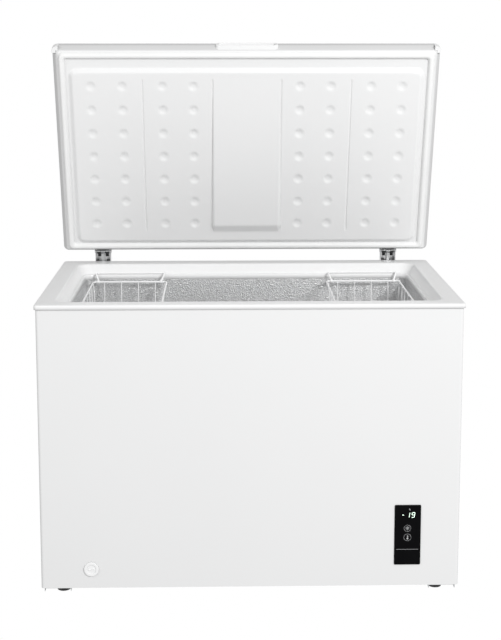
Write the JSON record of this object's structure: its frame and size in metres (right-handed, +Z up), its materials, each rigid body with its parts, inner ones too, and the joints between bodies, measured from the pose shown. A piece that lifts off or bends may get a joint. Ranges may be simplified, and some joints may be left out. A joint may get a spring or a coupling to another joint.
{
  "type": "chest freezer",
  "caption": "White chest freezer with a hinged insulated lid, an embossed aluminium tub, hanging wire baskets with folding bails, a drain and a control panel.",
  "frame": {"origin": "on the floor, under the middle of the box round the freezer with its lid open", "axes": "+Z up, the front with the display faces -Y, +X to the right of someone facing the front's display from outside"},
  "size_m": [1.1212, 0.6776, 1.4629],
  "materials": {
    "shell_paint": "satin white enamel",
    "collar_plastic": "glossy white",
    "lid_plastic": "soft gloss white, thermoformed",
    "trim_plastic": "satin white",
    "gasket_vinyl": "soft white vinyl",
    "stucco_aluminium": "pebble-embossed",
    "coated_wire": "white dip coat",
    "zinc_steel": "bright zinc plate",
    "galvanised": "matt galvanised",
    "foam": "rigid foam",
    "evaporator_tube": "drawn tube",
    "condenser_tube": "black coated steel tube",
    "copper": "drawn copper",
    "black_enamel": "gloss black",
    "black_rubber": "matt",
    "black_plastic": "matt",
    "display_black": "high gloss black",
    "board_green": "solder mask",
    "grille_plastic": "satin white"
  },
  "bodies": {
    "cabinet": {"back_panel": "galvanised", "base_pan": "galvanised", "compartment_bulkhead": "galvanised", "compressor": "black_enamel", "compressor_bolts": "zinc_steel", "compressor_grommets": "black_rubber", "compressor_plate": "galvanised", "condenser_coil": "condenser_tube", "control_board": "board_green", "cord_gland": "black_rubber", "display_housing": "black_plastic", "display_lens": "display_black", "drain_tube": "trim_plastic", "evaporator_coil": "evaporator_tube", "filter_drier": "copper", "foot_rails": "galvanised", "hinge_backing_plates": "zinc_steel", "hinge_base_left": "zinc_steel", "hinge_base_right": "zinc_steel", "hinge_pin_left": "zinc_steel", "hinge_pin_right": "zinc_steel", "hinge_screws": "zinc_steel", "hinge_spring_left": "zinc_steel", "hinge_spring_right": "zinc_steel", "inner_liner": "stucco_aluminium", "insulation_foam": "foam", "outer_shell": "shell_paint", "rear_grille": "galvanised", "rear_grille_screws": "zinc_steel", "refrigerant_pipes": "copper", "side_grille": "grille_plastic", "terminal_cover": "black_plastic", "top_collar": "collar_plastic", "tub_floor": "stucco_aluminium"},
    "lid": {"lid_pan": "shell_paint", "lid_foam": "foam", "lid_liner": "lid_plastic", "lid_gasket": "gasket_vinyl", "lid_corner_caps": "trim_plastic", "lid_handle": "trim_plastic", "hinge_leaf_left": "zinc_steel", "hinge_leaf_right": "zinc_steel", "hinge_leaf_rivets": "zinc_steel"},
    "hinge_plunger_left": {"hinge_plunger_left": "zinc_steel"},
    "hinge_plunger_right": {"hinge_plunger_right": "zinc_steel"},
    "basket_left": {"basket_left": "coated_wire"},
    "basket_right": {"basket_right": "coated_wire"},
    "bail_left_front": {"bail_left_front": "coated_wire"},
    "bail_left_back": {"bail_left_back": "coated_wire"},
    "bail_right_front": {"bail_right_front": "coated_wire"},
    "bail_right_back": {"bail_right_back": "coated_wire"},
    "drain_cap": {"drain_cap": "trim_plastic"},
    "drain_plug": {"drain_plug": "trim_plastic"},
    "foot_front_left": {"foot_front_left": "black_plastic"},
    "foot_front_right": {"foot_front_right": "black_plastic"},
    "foot_back_left": {"foot_back_left": "black_plastic"},
    "foot_back_right": {"foot_back_right": "black_plastic"}
  },
  "joints": [
    {"name": "lid_hinge", "type": "hinge", "parent": "cabinet", "child": "lid", "pos_m": [0, 0.3167, 0.8256], "axis": [-1, 0, 0], "range_deg": [-73.7, 0], "stiffness_Nm_per_rad": 11, "springref_deg": 22.92},
    {"name": "plunger_left_slide", "type": "slide", "parent": "cabinet", "child": "hinge_plunger_left", "axis": [0, 0, 1], "range_m": [-0.0067, 0.0005], "deforming": ["hinge_spring_left"]},
    {"name": "plunger_right_slide", "type": "slide", "parent": "cabinet", "child": "hinge_plunger_right", "axis": [0, 0, 1], "range_m": [-0.0067, 0.0005], "deforming": ["hinge_spring_right"]},
    {"name": "basket_left_lift", "type": "slide", "parent": "cabinet", "child": "basket_left", "axis": [0, -0.1392, 0.9903], "range_m": [0, 0.32]},
    {"name": "bail_left_front_fold", "type": "hinge", "parent": "basket_left", "child": "bail_left_front", "pos_m": [-0.35, -0.24075, 0.751], "axis": [-1, 0, 0], "range_deg": [0, 120]},
    {"name": "bail_left_back_fold", "type": "hinge", "parent": "basket_left", "child": "bail_left_back", "pos_m": [-0.35, 0.19875, 0.751], "axis": [1, 0, 0], "range_deg": [0, 120]},
    {"name": "basket_right_lift", "type": "slide", "parent": "cabinet", "child": "basket_right", "axis": [0, -0.1392, 0.9903], "range_m": [0, 0.32]},
    {"name": "bail_right_front_fold", "type": "hinge", "parent": "basket_right", "child": "bail_right_front", "pos_m": [0.35, -0.24075, 0.751], "axis": [-1, 0, 0], "range_deg": [0, 120]},
    {"name": "bail_right_back_fold", "type": "hinge", "parent": "basket_right", "child": "bail_right_back", "pos_m": [0.35, 0.19875, 0.751], "axis": [1, 0, 0], "range_deg": [0, 120]},
    {"name": "drain_cap_pull", "type": "slide", "parent": "cabinet", "child": "drain_cap", "axis": [0, -1, 0], "range_m": [0, 0.03]},
    {"name": "drain_plug_lift", "type": "slide", "parent": "cabinet", "child": "drain_plug", "axis": [0, 0, 1], "range_m": [0, 0.03]},
    {"name": "foot_front_left_turn", "type": "hinge", "parent": "cabinet", "child": "foot_front_left", "pos_m": [-0.503, -0.271, 0], "axis": [0, 0, 1], "continuous": true},
    {"name": "foot_front_right_turn", "type": "hinge", "parent": "cabinet", "child": "foot_front_right", "pos_m": [0.503, -0.271, 0], "axis": [0, 0, 1], "continuous": true},
    {"name": "foot_back_left_turn", "type": "hinge", "parent": "cabinet", "child": "foot_back_left", "pos_m": [-0.503, 0.239, 0], "axis": [0, 0, 1], "continuous": true},
    {"name": "foot_back_right_turn", "type": "hinge", "parent": "cabinet", "child": "foot_back_right", "pos_m": [0.503, 0.239, 0], "axis": [0, 0, 1], "continuous": true}
  ],
  "couplings": [
    {"joint": "plunger_left_slide", "follows": "lid_hinge", "m_per_rad": 0.005053},
    {"joint": "plunger_right_slide", "follows": "lid_hinge", "m_per_rad": 0.005053}
  ]
}
